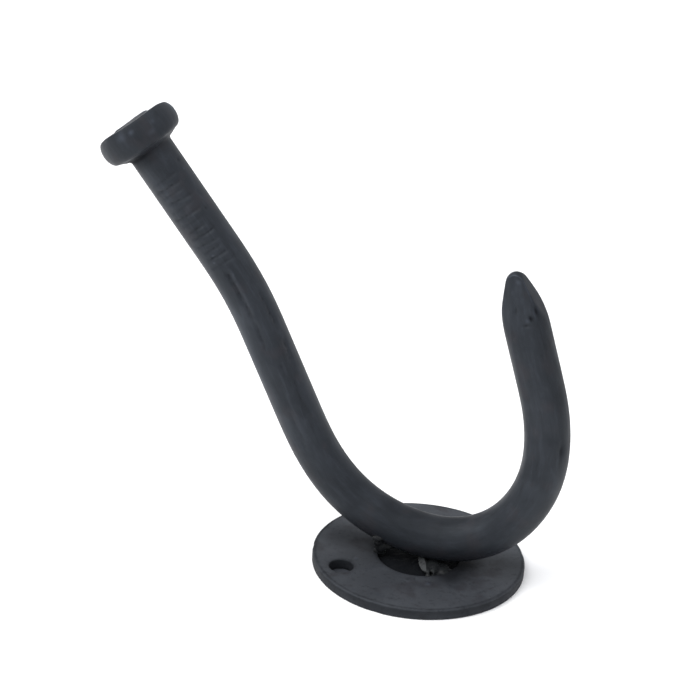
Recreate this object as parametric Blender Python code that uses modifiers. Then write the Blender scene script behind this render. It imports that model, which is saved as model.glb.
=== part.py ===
"""A wall hook: one large bent nail welded across a round mounting plate.

The plate lies flat in XY with the centre of its back face at the origin, so +Z points
away from the wall.  The nail is bent in the XZ plane.  Its pointed hook arm rises on the
+X side and its headed arm leans away on the -X side.  All lengths are in metres.
"""

import math

import bmesh
import bpy
from mathutils import Matrix, Vector

MM = 0.001
GAP = 0.3 * MM                      # clearance between neighbouring solids

# Nail
NAIL_RADIUS = 5.1 * MM
HEAD_RADIUS = 9.4 * MM
FACE_RADIUS = 8.4 * MM              # where the face meets the rounded upper rim
UPPER_RIM_HEIGHT = 2.6 * MM
LOWER_RIM_HEIGHT = 3.1 * MM
UNDERSIDE_RADIUS = 7.6 * MM         # where the lower rim meets the conical underside
HEAD_CONE = 0.8 * MM                # fall of the conical underside
HEAD_FILLET = 0.8 * MM
HEAD_LEAN = 0.185                   # slope of the face, which an uneven blow has tipped
LEAN_ANGLE = 116.0                  # where it stands highest: 0 is out of the bend, 90 is -Y
BOSS_RADIUS = 4.8 * MM              # low boss left on the face by the heading die
BOSS_HEIGHT = 0.9 * MM
NOSE_LENGTH = 13.5 * MM             # rounded end, before its facets are cut
POINT_LENGTH = 15.6 * MM            # length of the two facets that face along the bend
POINT_HALF_WIDTH = 1.1 * MM         # half width across those facets at the blunt end
POINT_FLATNESS = 1.3                # width across the other two facets, against these
RING_SPACING = 4.0 * MM
NAIL_STEPS = 24

# Bends of each arm, from where the nail rests on the plate: (length in mm, turn in degrees)
HOOK_ARM = ((21.0, 54.5), (17.5, 34.5), (15.5, 19.0), (28.5, 0.0))
HEAD_ARM = ((29.5, 51.0), (11.5, 12.5), (26.0, 0.0), (17.0, -12.5), (36.2, 0.0))
REST_X = 3.3 * MM                   # the resting point, off the plate's centre

# Plate
PLATE_RADIUS = 24.1 * MM
PLATE_THICKNESS = 2.5 * MM
PLATE_ROLL = 0.6 * MM               # rounded upper edge left by blanking
PLATE_CHAMFER = 0.25 * MM           # lower edge
CENTRE_HOLE_RADIUS = 9.3 * MM
SCREW_HOLE_RADIUS = 2.75 * MM
SCREW_CIRCLE_RADIUS = 18.8 * MM
SCREW_ANGLES = (-142.0, 38.0)       # degrees
HOLE_CHAMFER = 0.25 * MM
SCREW_CHAMFER = 0.3 * MM
PLATE_STEPS = 72

# Weld metal
PLUG_RIM_HEIGHT = 1.0 * MM
PLUG_CROWN_HEIGHT = 2.0 * MM
BEADS = {
    # name: centre in mm, full size in mm, heading in degrees, tilt in degrees
    "weld_bead_front_left": ((-8.9, -3.6, 4.2), (5.0, 4.6, 6.0), 20.0, 12.0),
    "weld_bead_front_right": ((5.4, -6.0, 3.0), (8.4, 6.4, 5.0), 40.0, 14.0),
    "weld_bead_rear_left": ((-8.7, 3.7, 4.2), (5.6, 4.6, 6.2), -24.0, -12.0),
    "weld_bead_rear_right": ((5.2, 6.1, 3.0), (7.8, 6.2, 4.8), -38.0, -14.0),
}


def clear_scene():
    """Remove every object of the opened file."""
    for obj in list(bpy.data.objects):
        bpy.data.objects.remove(obj, do_unlink=True)


def new_collection(name):
    """Add a collection under the scene."""
    collection = bpy.data.collections.new(name)
    bpy.context.scene.collection.children.link(collection)
    return collection


def steel(name, colour, roughness, metallic):
    """A plain steel finish."""
    material = bpy.data.materials.new(name)
    material.use_nodes = True
    shader = material.node_tree.nodes["Principled BSDF"]
    shader.inputs["Base Color"].default_value = (*colour, 1.0)
    shader.inputs["Roughness"].default_value = roughness
    shader.inputs["Metallic"].default_value = metallic
    return material


def add_object(name, data, collection):
    """Wrap mesh or curve data in an object."""
    obj = bpy.data.objects.new(name, data)
    collection.objects.link(obj)
    return obj


def as_guide(obj):
    """Mark an object as a cutter or guide that is not part of the model."""
    obj.hide_render = True
    obj.display_type = "WIRE"
    return obj


def turned(name, profile, steps, collection):
    """Turn (radius, height) points, listed from top to bottom, about the Z axis."""
    mesh = bpy.data.meshes.new(name)
    outline = bmesh.new()
    corners = [outline.verts.new((radius, 0.0, height)) for radius, height in profile]
    for upper, lower in zip(corners, corners[1:]):
        outline.edges.new((upper, lower))
    outline.to_mesh(mesh)
    outline.free()
    obj = add_object(name, mesh, collection)
    screw = obj.modifiers.new("turn", "SCREW")
    screw.axis = "Z"
    screw.steps = steps
    screw.render_steps = steps
    screw.use_merge_vertices = True
    screw.merge_threshold = 1e-5
    screw.use_smooth_shade = True
    return obj


def boolean(obj, cutter, operation):
    """Cut, join or trim an object with another one."""
    modifier = obj.modifiers.new(operation.lower(), "BOOLEAN")
    modifier.operation = operation
    modifier.solver = "EXACT"
    modifier.object = cutter


def ellipse_arc(centre, radii, start, end, steps):
    """Points of an elliptical arc; angles are in degrees from +X towards +Z."""
    points = []
    for step in range(steps + 1):
        angle = math.radians(start + (end - start) * step / steps)
        points.append((centre[0] + radii[0] * math.cos(angle),
                       centre[1] + radii[1] * math.sin(angle)))
    return points


# Bending


def walk_arm(bends, side):
    """Knots of one arm, outwards from the resting point.

    Each knot is a position, an outward direction and the handle lengths before and after
    it.  The handles make every bend a circular arc.
    """
    position = Vector((REST_X, 0.0, PLATE_THICKNESS + NAIL_RADIUS))
    angle = 0.0
    knots = [[position.copy(), Vector((side, 0.0, 0.0)), 0.0, 0.0]]
    for length_mm, turn_degrees in bends:
        length = length_mm * MM
        turn = math.radians(turn_degrees)
        if turn:
            chord = 2.0 * length / turn * math.sin(turn / 2.0)
            handle = 4.0 / 3.0 * math.tan(turn / 4.0) * length / turn
        else:
            chord = length
            handle = length / 3.0
        middle = angle + turn / 2.0
        angle += turn
        position += chord * Vector((side * math.cos(middle), 0.0, math.sin(middle)))
        direction = Vector((side * math.cos(angle), 0.0, math.sin(angle)))
        knots[-1][3] = handle
        knots.append([position.copy(), direction, handle, 0.0])
    return knots


def nail_path(name, collection):
    """The bent centre line, from the nail's point to the top of its head."""
    hook_knots = walk_arm(HOOK_ARM, 1.0)
    head_knots = walk_arm(HEAD_ARM, -1.0)
    knots = [(place, -outward, after, before) for place, outward, before, after in hook_knots[:0:-1]]
    knots.append((head_knots[0][0], head_knots[0][1], hook_knots[0][3], head_knots[0][3]))
    knots.extend(tuple(knot) for knot in head_knots[1:])

    curve = bpy.data.curves.new(name, "CURVE")
    curve.dimensions = "3D"
    curve.resolution_u = 16
    curve.twist_mode = "MINIMUM"
    spline = curve.splines.new("BEZIER")
    spline.bezier_points.add(len(knots) - 1)
    for point, (place, forward, before, after) in zip(spline.bezier_points, knots):
        point.handle_left_type = "FREE"
        point.handle_right_type = "FREE"
        point.co = place
        point.handle_left = place - forward * before
        point.handle_right = place + forward * after
    return as_guide(add_object(name, curve, collection))


def arm_length(bends):
    """Developed length of one arm."""
    return sum(length for length, _ in bends) * MM


def nail_profile(length):
    """Outline of the straight nail: head on top, point at height zero."""
    face = length - BOSS_HEIGHT
    widest = face - UPPER_RIM_HEIGHT
    shank_top = widest - LOWER_RIM_HEIGHT - HEAD_CONE - HEAD_FILLET
    upper_rim = (HEAD_RADIUS - FACE_RADIUS, UPPER_RIM_HEIGHT)
    lower_rim = (HEAD_RADIUS - UNDERSIDE_RADIUS, LOWER_RIM_HEIGHT)
    profile = ellipse_arc((0.0, face), (BOSS_RADIUS, BOSS_HEIGHT), 90.0, 0.0, 3)
    profile += ellipse_arc((FACE_RADIUS, widest), upper_rim, 90.0, 0.0, 4)
    profile += ellipse_arc((UNDERSIDE_RADIUS, widest), lower_rim, 0.0, -90.0, 4)[1:]
    fillet_centre = (NAIL_RADIUS + HEAD_FILLET, shank_top)
    profile += ellipse_arc(fillet_centre, (HEAD_FILLET, HEAD_FILLET), 90.0, 180.0, 3)
    rings = math.ceil((shank_top - NOSE_LENGTH) / RING_SPACING)
    for ring in range(1, rings):
        height = shank_top + (NOSE_LENGTH - shank_top) * ring / rings
        profile.append((NAIL_RADIUS, height))
    profile += ellipse_arc((0.0, NOSE_LENGTH), (NAIL_RADIUS, NOSE_LENGTH), 0.0, -90.0, 7)
    profile[0] = (0.0, length)
    profile[-1] = (0.0, 0.0)
    return profile


def lean_head(nail, length):
    """Turn the blank into a plain mesh and tip the face of its head."""
    evaluated = nail.evaluated_get(bpy.context.evaluated_depsgraph_get())
    mesh = bpy.data.meshes.new_from_object(evaluated)
    face = length - BOSS_HEIGHT
    angle = math.radians(LEAN_ANGLE)
    for vertex in mesh.vertices:
        share = min(max((vertex.co.z - face) / UPPER_RIM_HEIGHT + 1.0, 0.0), 1.0)
        across = vertex.co.y * math.cos(angle) - vertex.co.x * math.sin(angle)
        vertex.co.z += HEAD_LEAN * share * across
    nail.modifiers.clear()
    nail.data = mesh


def point_die(length, collection):
    """A square taper that leaves four facets on the nail's point."""
    slope = (NAIL_RADIUS - POINT_HALF_WIDTH) / POINT_LENGTH
    margin = 1.0 * MM
    bottom = POINT_HALF_WIDTH - slope * margin
    height = length + 2.0 * margin
    top = bottom + slope * height
    mesh = bpy.data.meshes.new("point_die")
    die = bmesh.new()
    bmesh.ops.create_cone(die, cap_ends=True, segments=4, radius1=bottom * math.sqrt(2.0),
                          radius2=top * math.sqrt(2.0), depth=height)
    bmesh.ops.rotate(die, verts=die.verts, matrix=Matrix.Rotation(math.radians(45.0), 3, "Z"))
    bmesh.ops.scale(die, verts=die.verts, vec=(1.0, POINT_FLATNESS, 1.0))
    bmesh.ops.translate(die, verts=die.verts, vec=(0.0, 0.0, height / 2.0 - margin))
    die.to_mesh(mesh)
    die.free()
    return as_guide(add_object("point_die", mesh, collection))


def make_nail(path, parts, cutters, material):
    """Turn the straight nail, cut its point and bend it along the path."""
    length = arm_length(HOOK_ARM) + arm_length(HEAD_ARM)
    nail = turned("nail_hook", nail_profile(length), NAIL_STEPS, parts)
    lean_head(nail, length)
    nail.data.materials.append(material)
    boolean(nail, point_die(length, cutters), "INTERSECT")
    bend = nail.modifiers.new("bend", "CURVE")
    bend.object = path
    bend.deform_axis = "POS_Z"
    return nail


# Plate


def hole_cutter(name, radius, chamfer, place, collection):
    """A through-hole cutter with a chamfer at both faces of the plate."""
    reach = PLATE_THICKNESS
    profile = (
        (0.0, PLATE_THICKNESS + reach),
        (radius + chamfer + reach, PLATE_THICKNESS + reach),
        (radius, PLATE_THICKNESS - chamfer),
        (radius, chamfer),
        (radius + chamfer + reach, -reach),
        (0.0, -reach),
    )
    cutter = as_guide(turned(name, profile, PLATE_STEPS // 2, collection))
    cutter.location = place
    return cutter


def make_plate(parts, cutters, material):
    """Blank the round plate and cut its three holes."""
    roll_centre = (PLATE_RADIUS - PLATE_ROLL, PLATE_THICKNESS - PLATE_ROLL)
    profile = [(0.0, PLATE_THICKNESS)]
    profile += ellipse_arc(roll_centre, (PLATE_ROLL, PLATE_ROLL), 90.0, 0.0, 4)
    profile += [
        (PLATE_RADIUS, PLATE_CHAMFER),
        (PLATE_RADIUS - PLATE_CHAMFER, 0.0),
        (0.0, 0.0),
    ]
    plate = turned("mounting_plate", profile, PLATE_STEPS, parts)
    plate.data.materials.append(material)
    centre_hole = hole_cutter("centre_hole", CENTRE_HOLE_RADIUS, HOLE_CHAMFER, (0.0, 0.0, 0.0), cutters)
    boolean(plate, centre_hole, "DIFFERENCE")
    for number, degrees in enumerate(SCREW_ANGLES, 1):
        angle = math.radians(degrees)
        place = (SCREW_CIRCLE_RADIUS * math.cos(angle), SCREW_CIRCLE_RADIUS * math.sin(angle), 0.0)
        hole = hole_cutter(f"screw_hole_{number}", SCREW_HOLE_RADIUS, SCREW_CHAMFER, place, cutters)
        boolean(plate, hole, "DIFFERENCE")
    return plate


# Weld metal


def crown_profile(radius, lift):
    """Outline of the plug's crowned surface, from its middle to its rim."""
    rise = PLUG_CROWN_HEIGHT - PLUG_RIM_HEIGHT
    profile = ellipse_arc((0.0, PLUG_RIM_HEIGHT + lift), (radius, rise), 90.0, 0.0, 6)
    profile[0] = (0.0, PLUG_CROWN_HEIGHT + lift)
    return profile


def make_plug(parts, material):
    """The crowned weld that closes the centre hole from behind, ground flush with the back."""
    radius = CENTRE_HOLE_RADIUS - GAP
    profile = crown_profile(radius, 0.0)
    profile += [(radius, 0.0), (0.0, 0.0)]
    plug = turned("plug_weld", profile, PLATE_STEPS // 2, parts)
    plug.data.materials.append(material)
    return plug


def seat_clearance(collection):
    """The plate and the plug with the clearance that the beads keep to them."""
    edge = CENTRE_HOLE_RADIUS - GAP
    reach = PLATE_RADIUS
    profile = crown_profile(edge, GAP)
    profile += [
        (edge, PLATE_THICKNESS + GAP),
        (PLATE_RADIUS + reach, PLATE_THICKNESS + GAP),
        (PLATE_RADIUS + reach, -reach),
        (0.0, -reach),
    ]
    return as_guide(turned("seat_clearance", profile, PLATE_STEPS, collection))


def nail_clearance(path, collection):
    """The bent shank, swollen by the clearance that the beads keep to it."""
    pipe = add_object("pipe", path.data.copy(), collection)
    pipe.data.bevel_depth = NAIL_RADIUS + GAP
    pipe.data.bevel_resolution = 4
    pipe.data.use_fill_caps = True
    evaluated = pipe.evaluated_get(bpy.context.evaluated_depsgraph_get())
    mesh = bpy.data.meshes.new_from_object(evaluated)
    mesh.name = "nail_clearance"
    shell = bmesh.new()
    shell.from_mesh(mesh)
    bmesh.ops.remove_doubles(shell, verts=shell.verts, dist=1e-6)
    shell.to_mesh(mesh)
    shell.free()
    cutter = add_object("nail_clearance", mesh, collection)
    cutter.matrix_world = pipe.matrix_world.copy()
    bpy.data.objects.remove(pipe, do_unlink=True)
    return as_guide(cutter)


def make_bead(name, layout, clearances, parts, material):
    """A rounded lump of weld metal, trimmed to clear its neighbours."""
    centre, size, heading, tilt = layout
    mesh = bpy.data.meshes.new(name)
    cage = bmesh.new()
    bmesh.ops.create_cube(cage, size=1.0)
    stretch = Matrix.Diagonal(Vector(size) * MM).to_3x3()
    bmesh.ops.transform(cage, verts=cage.verts, matrix=stretch.to_4x4())
    cage.to_mesh(mesh)
    cage.free()
    bead = add_object(name, mesh, parts)
    bead.location = Vector(centre) * MM
    bead.rotation_euler = (math.radians(tilt), 0.0, math.radians(heading))
    bead.data.materials.append(material)
    rounding = bead.modifiers.new("rounding", "SUBSURF")
    rounding.levels = 2
    rounding.render_levels = 2
    for clearance in clearances:
        boolean(bead, clearance, "DIFFERENCE")
    return bead


def build():
    """Make the whole hook."""
    clear_scene()
    parts = new_collection("nail_wall_hook")
    cutters = new_collection("cutters")
    frame = add_object("hook_frame", None, parts)
    path = nail_path("nail_path", cutters)
    clearances = (seat_clearance(cutters), nail_clearance(path, cutters))

    pieces = [
        make_nail(path, parts, cutters, steel("nail_steel", (0.042, 0.045, 0.052), 0.58, 0.6)),
        make_plate(parts, cutters, steel("plate_steel", (0.045, 0.047, 0.052), 0.62, 0.6)),
    ]
    weld_metal = steel("weld_metal", (0.085, 0.088, 0.092), 0.45, 0.7)
    pieces.append(make_plug(parts, weld_metal))
    for name, layout in BEADS.items():
        pieces.append(make_bead(name, layout, clearances, parts, weld_metal))
    for piece in pieces:
        piece.parent = frame


build()
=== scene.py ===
"""Looks of the nail wall hook: fine surfaces, steel and weld materials, light and camera.

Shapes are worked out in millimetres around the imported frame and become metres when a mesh
is made.  The nail is shaped straight, its point at height zero and its head on top, and is
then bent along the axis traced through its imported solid.  Angles round the nail are in
degrees: 0 faces out of the bend, 90 faces -Y, where the camera is, and 180 faces into it.
"""

import math

import bmesh
import bpy
import numpy as np
from mathutils import Matrix, Vector, noise


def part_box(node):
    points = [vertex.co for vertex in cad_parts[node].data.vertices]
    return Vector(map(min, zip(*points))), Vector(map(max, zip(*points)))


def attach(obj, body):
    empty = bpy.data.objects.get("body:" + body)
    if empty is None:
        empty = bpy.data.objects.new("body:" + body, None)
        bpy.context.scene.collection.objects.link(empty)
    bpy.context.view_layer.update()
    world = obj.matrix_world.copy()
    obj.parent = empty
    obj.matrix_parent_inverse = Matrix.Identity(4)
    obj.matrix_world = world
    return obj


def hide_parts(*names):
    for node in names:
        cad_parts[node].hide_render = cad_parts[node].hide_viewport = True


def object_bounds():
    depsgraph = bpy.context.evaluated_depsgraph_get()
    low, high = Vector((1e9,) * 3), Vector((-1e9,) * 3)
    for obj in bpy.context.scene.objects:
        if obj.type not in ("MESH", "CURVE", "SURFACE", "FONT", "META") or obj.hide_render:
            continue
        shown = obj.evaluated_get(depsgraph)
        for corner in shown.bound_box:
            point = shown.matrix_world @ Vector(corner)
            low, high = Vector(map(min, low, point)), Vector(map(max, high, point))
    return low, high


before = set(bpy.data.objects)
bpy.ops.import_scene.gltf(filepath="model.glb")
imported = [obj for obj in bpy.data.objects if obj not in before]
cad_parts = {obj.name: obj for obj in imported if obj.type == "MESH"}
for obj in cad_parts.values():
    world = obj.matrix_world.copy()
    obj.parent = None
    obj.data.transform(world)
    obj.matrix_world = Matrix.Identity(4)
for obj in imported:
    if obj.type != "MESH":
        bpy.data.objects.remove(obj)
cad_low, cad_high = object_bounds()

MM = 0.001

# Nail
NAIL_SKIN = 0.02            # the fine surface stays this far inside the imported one
AXIS_STEP = 1.0
AXIS_SMOOTHING = 2.0
ROUND_STEPS = 128
FINE_ROW = 0.12             # step between rings at fine detail, and elsewhere on the nail
COARSE_ROW = 0.3
NOSE_LENGTH = 13.5
POINT_LENGTH = 16.0         # the facets end this far above the blunt end
POINT_HALF_WIDTH = 1.1      # distance of the two closest facets at the blunt end
POINT_SLOPE = 0.25
POINT_FACETS = ((0.0, 1.3), (90.0, 1.0), (118.0, 1.19), (180.0, 1.48),
                (242.0, 1.19), (270.0, 1.0))      # facing angle, distance against the closest
UPPER_RIM = 2.6             # height of the head above its widest circle, and below it
LOWER_RIM = 3.1
FACE_INSET = 0.9            # the face's edge lies this far inside the widest circle
UNDERSIDE_INSET = 1.7
HEAD_CONE = 0.8             # height of the cone between the rim and the fillet
HEAD_FILLET = 0.8
HEAD_LEAN = 0.185           # slope of the face, which stands highest at the lean angle
LEAN_ANGLE = 116.0
BOSS_HEIGHT = 0.9
BOSS_RADIUS = 4.8

# Grip marks: shallow grooves across the shank, pressed by the two jaws of the heading die
GRIP_START = 14.4           # distances from the face of the head
GRIP_PITCH = 1.85
GRIP_COUNT = 13
GRIP_SIDES = (104.0, 284.0)

# Marks along the shank: distance from the face and angle at both ends, width, depth
SEAMS = (
    ((38.4, 103.0), (50.6, 103.5), 0.62, 0.32),
    ((37.4, 113.0), (52.5, 110.5), 0.62, -0.18),
    ((50.8, 104.5), (58.5, 101.0), 0.50, 0.24),
    ((45.5, 149.0), (54.5, 153.0), 0.55, 0.24),
    ((57.2, 157.0), (64.6, 151.0), 0.60, 0.24),
    ((61.5, 124.0), (66.0, 119.0), 0.45, 0.18),
    ((66.0, 142.0), (76.5, 126.0), 0.60, 0.15),
    ((68.0, 98.0), (84.0, 92.0), 0.55, 0.10),
    ((41.0, 291.0), (58.0, 287.0), 0.60, 0.22),
    ((40.0, 300.0), (55.0, 297.0), 0.62, -0.14),
    ((84.0, 215.0), (97.0, 222.0), 0.55, 0.14),
)

# Small dents: distance from the face, angle, length along, width across, depth
DENTS = (
    (194.9, 103.0, 1.1, 0.80, 0.16),
    (194.1, 37.0, 1.0, 0.50, 0.30),
    (192.7, 55.0, 0.8, 0.60, 0.36),
    (191.4, 73.0, 0.45, 1.1, 0.22),
    (162.0, 40.0, 1.6, 0.70, 0.28),
    (24.6, 152.0, 0.5, 0.4, 0.15),
    (12.6, 165.0, 0.5, 0.5, 0.15),
    (120.0, 230.0, 1.2, 0.6, 0.15),
    (60.0, 20.0, 1.1, 0.5, 0.12),
    (175.0, 250.0, 1.0, 0.5, 0.14),
)

# Rubbed spots and stretches, and two painted highlights on the head's rim: distance from the face,
# angle, length, width, strength
RUBS_AND_HIGHLIGHTS = (
    (1.6, 110.0, 0.5, 0.55, 1.0),
    (1.4, 94.0, 0.9, 1.0, 0.7),
    (4.0, 134.0, 0.6, 0.9, 0.45),
    (2.2, 143.0, 0.5, 0.5, 0.5),
    # the next two are painted highlights at the two ends of the head's rim
    (2.0, 200.0, 1.8, 2.0, 0.9),
    (3.0, 30.0, 1.6, 1.4, 0.3),
    (34.2, 96.0, 0.30, 0.30, 0.7),
    (35.6, 88.0, 0.25, 0.25, 0.6),
    (14.9, 165.0, 0.25, 0.25, 0.5),
    (58.0, 42.0, 20.0, 2.6, 0.35),
    (192.4, 67.0, 0.40, 0.40, 0.5),
    (200.6, 60.0, 0.50, 0.50, 0.6),
)

# The weld's smoke on the nail, also painted shade that dims the highlight on the bend: distance
# from the face, reach, strength
SMOKE_AND_SHADE = (116.0, 22.0, 0.42)

# Plate
PLATE_STEPS = 360
PLATE_ROW = 0.25
PLATE_ROLL = 0.6
PLATE_CHAMFER = 0.25
HOLE_ROUNDING = 0.3
SCREW_ROUNDING = 0.3
CENTRE_HOLE_RADIUS = 9.3
SCREW_HOLE_RADIUS = 2.75
SCREW_CIRCLE_RADIUS = 18.8
SCREW_ANGLES = (-142.0, 38.0)

# Nicks in the plate's rim: angle round the plate, depth, width
RIM_NICKS = ((191.0, 0.14, 0.9), (262.0, 0.10, 1.2), (118.0, 0.12, 0.8), (25.0, 0.10, 1.0))

# Weld spatter on the plate: x, y, half width, height
SPATTER = ((5.4, -11.7, 0.6, 0.22), (-12.6, -7.4, 0.4, 0.12), (-3.4, 12.4, 0.45, 0.2),
           (10.6, 9.0, 0.4, 0.18))

# Weld metal
VOXEL = 0.16                # mesh size at which the drops of a bead are fused

# Colour casts of the two steels
NAIL_TINT = (0.84, 0.96, 1.22)
PLATE_TINT = (0.90, 0.97, 1.12)

# Camera and light
VIEW_AZIMUTH = 15.06
VIEW_ELEVATION = 25.81
VIEW_ROLL = 3.92
VIEW_DISTANCE = 572.2
VIEW_SHIFT = (3.76, 0.0, -0.12)     # what the camera aims at, from the middle of the CAD box
LENS = 133.71
SENSOR = 36.0
# radius of the dark disc under the plate, painted shade seen through the screw holes
SHADE_DISC_RADIUS = 22.5
SURROUND_GLOW = (("X", 0.57), ("Y", 0.45), ("Z", 0.25))     # axis, strength on its positive side
SOFTBOX_DISTANCE = 0.8      # metres
SOFTBOX_SIZE = 0.9
SOFTBOXES = (("key_light", -60.0, 50.0, 9.1), ("front_light", 0.0, 55.0, 1.9),
             ("side_light", 50.0, 40.0, 0.4))     # name, azimuth, elevation, power


# Small helpers


def unit(vector):
    """A vector of length one in the same direction."""
    return vector / np.linalg.norm(vector)


def hump(distance, width):
    """1 at distance 0, falling smoothly to 0 within about two widths."""
    return np.exp(-((distance / width) ** 2))


def ease(value, start, end):
    """0 at start, 1 at end and smooth in between."""
    share = np.clip((value - start) / (end - start), 0.0, 1.0)
    return share * share * (3.0 - 2.0 * share)


def turn_between(angle, centre):
    """Signed turn in degrees from one angle to another, the short way round."""
    return (angle - centre + 180.0) % 360.0 - 180.0


def lumps(points, size, octaves, seed):
    """Smooth noise from about -1 to 1; size is the width in mm of its largest lumps."""
    shift = Vector((seed * 31.7, seed * -17.3, seed * 11.9))
    return np.array([noise.fractal(Vector(p) / size + shift, 0.9, 2.1, octaves) for p in points])


def blurred(values, sigma):
    """Smooth a row of values; past either end it goes on as its own point reflection."""
    reach = int(math.ceil(4.0 * sigma))
    weights = hump(np.arange(-reach, reach + 1), sigma * math.sqrt(2.0))
    before = 2.0 * values[0] - values[reach:0:-1]
    after = 2.0 * values[-1] - values[-2:-reach - 2:-1]
    padded = np.concatenate((before, values, after))
    return np.convolve(padded, weights / weights.sum(), mode="valid")


def lengths_along(points):
    """Distance travelled at each point of a polyline."""
    steps = np.linalg.norm(np.diff(points, axis=0), axis=1)
    return np.concatenate(((0.0,), np.cumsum(steps)))


def resampled(points, step):
    """A polyline with its points at an even spacing."""
    travelled = lengths_along(points)
    places = np.linspace(0.0, travelled[-1], int(round(travelled[-1] / step)) + 1)
    return np.stack([np.interp(places, travelled, axis) for axis in points.T], axis=1)


def spaced(outline, spacing, closed=False):
    """Place an outline's points anew; spacing is the wanted step at each given point."""
    rows = np.cumsum(np.gradient(lengths_along(outline)) / spacing)
    wanted = np.linspace(rows[0], rows[-1], int(round(rows[-1] - rows[0])) + 1)
    if closed:
        wanted = wanted[:-1]
    return np.stack([np.interp(wanted, rows, values) for values in outline.T], axis=1)


def arc(centre, radii, start, end, steps=24):
    """Points of an elliptical arc; angles are in degrees from +radius towards +height."""
    angles = np.radians(np.linspace(start, end, steps + 1))
    return np.stack((centre[0] + radii[0] * np.cos(angles),
                     centre[1] + radii[1] * np.sin(angles)), axis=1)


def rounded_outline(points, step, radius):
    """Soften the corners of a (radius, height) outline whose ends lie on the axis."""
    even = resampled(points, step)
    sigma = radius / step
    across = blurred(even[:, 0], sigma)
    reach = int(math.ceil(4.0 * sigma))
    mirrored = np.concatenate((even[reach:0:-1, 1], even[:, 1], even[-2:-reach - 2:-1, 1]))
    weights = hump(np.arange(-reach, reach + 1), sigma * math.sqrt(2.0))
    height = np.convolve(mirrored, weights / weights.sum(), mode="valid")
    return np.stack((across, height), axis=1)


# Meshes


def ring_faces(rows, columns, closed):
    """Quads between neighbouring rings.

    The last ring of a closed row joins the first; an open row ends in a pole on each side.
    """
    strips = rows if closed else rows - 1
    row, column = np.meshgrid(np.arange(strips), np.arange(columns), indexing="ij")
    after, above = (column + 1) % columns, (row + 1) % rows
    quads = np.stack((row * columns + column, row * columns + after,
                      above * columns + after, above * columns + column), axis=-1)
    faces = quads.reshape(-1, 4).tolist()
    if closed:
        return faces
    first_pole, last_pole = rows * columns, rows * columns + 1
    last_row = (rows - 1) * columns
    for step in range(columns):
        following = (step + 1) % columns
        faces.append((first_pole, following, step))
        faces.append((last_pole, last_row + step, last_row + following))
    return faces


def mesh_arrays(mesh):
    """A mesh's points in mm, its normals and its edges."""
    points = np.empty(len(mesh.vertices) * 3)
    mesh.vertices.foreach_get("co", points)
    normals = np.empty(len(mesh.vertices) * 3)
    mesh.vertices.foreach_get("normal", normals)
    edges = np.empty(len(mesh.edges) * 2, dtype=np.int64)
    mesh.edges.foreach_get("vertices", edges)
    return points.reshape(-1, 3) / MM, normals.reshape(-1, 3), edges.reshape(-1, 2)


def neighbour_mean(values, edges):
    """Mean of each vertex's neighbours."""
    count = len(values)
    degree = np.bincount(edges.ravel(), minlength=count)
    total = np.bincount(edges[:, 0], weights=values[edges[:, 1]], minlength=count)
    total += np.bincount(edges[:, 1], weights=values[edges[:, 0]], minlength=count)
    return total / np.maximum(degree, 1)


def sharpness(mesh):
    """Curvature in 1/mm at each vertex: positive on ridges, negative in grooves."""
    points, normals, edges = mesh_arrays(mesh)
    span = np.sum((points[edges[:, 0]] - points[edges[:, 1]]) ** 2, axis=1)
    degree = np.bincount(edges.ravel(), minlength=len(points))
    square = np.bincount(edges[:, 0], weights=span, minlength=len(points))
    square += np.bincount(edges[:, 1], weights=span, minlength=len(points))
    square /= np.maximum(degree, 1)
    middle = np.stack([neighbour_mean(axis, edges) for axis in points.T], axis=1)
    curvature = 4.0 * np.sum((points - middle) * normals, axis=1) / np.maximum(square, 1e-6)
    for _ in range(2):
        curvature = 0.5 * curvature + 0.5 * neighbour_mean(curvature, edges)
    return curvature


def set_attribute(mesh, name, values):
    """Store one number or one vector at each vertex, for the material to read."""
    if values.ndim == 1:
        mesh.attributes.new(name, "FLOAT", "POINT").data.foreach_set("value", values)
    else:
        vectors = mesh.attributes.new(name, "FLOAT_VECTOR", "POINT")
        vectors.data.foreach_set("vector", values.ravel())


def evaluated_mesh(obj):
    """A copy of an object's mesh with its modifiers applied."""
    depsgraph = bpy.context.evaluated_depsgraph_get()
    return bpy.data.meshes.new_from_object(obj.evaluated_get(depsgraph))


def add_piece(mesh, node, material, grain, soot_and_shade, bare_and_highlight):
    """Show a finished mesh in place of a CAD node, with the masks its material reads."""
    ridges = sharpness(mesh)
    set_attribute(mesh, "grain", grain)
    # grooves and hollows get painted shade, added to the soot and shade mask
    set_attribute(mesh, "soot_and_shade", np.clip(soot_and_shade + 0.5 * ease(-ridges, 0.4, 3.5), 0.0, 1.0))
    set_attribute(mesh, "wear", ease(ridges, 0.8, 3.0))
    set_attribute(mesh, "bare_and_highlight", np.clip(bare_and_highlight, 0.0, 1.0))
    mesh.materials.clear()
    mesh.materials.append(material)
    piece = bpy.data.objects.new(node + "_surface", mesh)
    bpy.context.scene.collection.objects.link(piece)
    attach(piece, "root")
    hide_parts(node)
    return piece


def ring_mesh(name, points, poles=()):
    """A closed mesh of rings, with a pole at either end or else joined end to end."""
    rows, columns = points.shape[:2]
    places = np.concatenate((points.reshape(-1, 3), np.reshape(poles, (-1, 3)))) * MM
    mesh = bpy.data.meshes.new(name)
    mesh.from_pydata(places.tolist(), [], ring_faces(rows, columns, not len(poles)))
    mesh.shade_smooth()
    return mesh


# The nail's axis


def section(points, edges, place, direction, reach):
    """Where mesh edges near a place cross the plane through it, square to a direction."""
    side = (points - place) @ direction
    first, second = side[edges[:, 0]], side[edges[:, 1]]
    crossed = first * second < 0.0
    share = (first[crossed] / (first[crossed] - second[crossed]))[:, None]
    cuts = points[edges[crossed, 0]] * (1.0 - share) + points[edges[crossed, 1]] * share
    return cuts[np.linalg.norm(cuts - place, axis=1) < reach]


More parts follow.
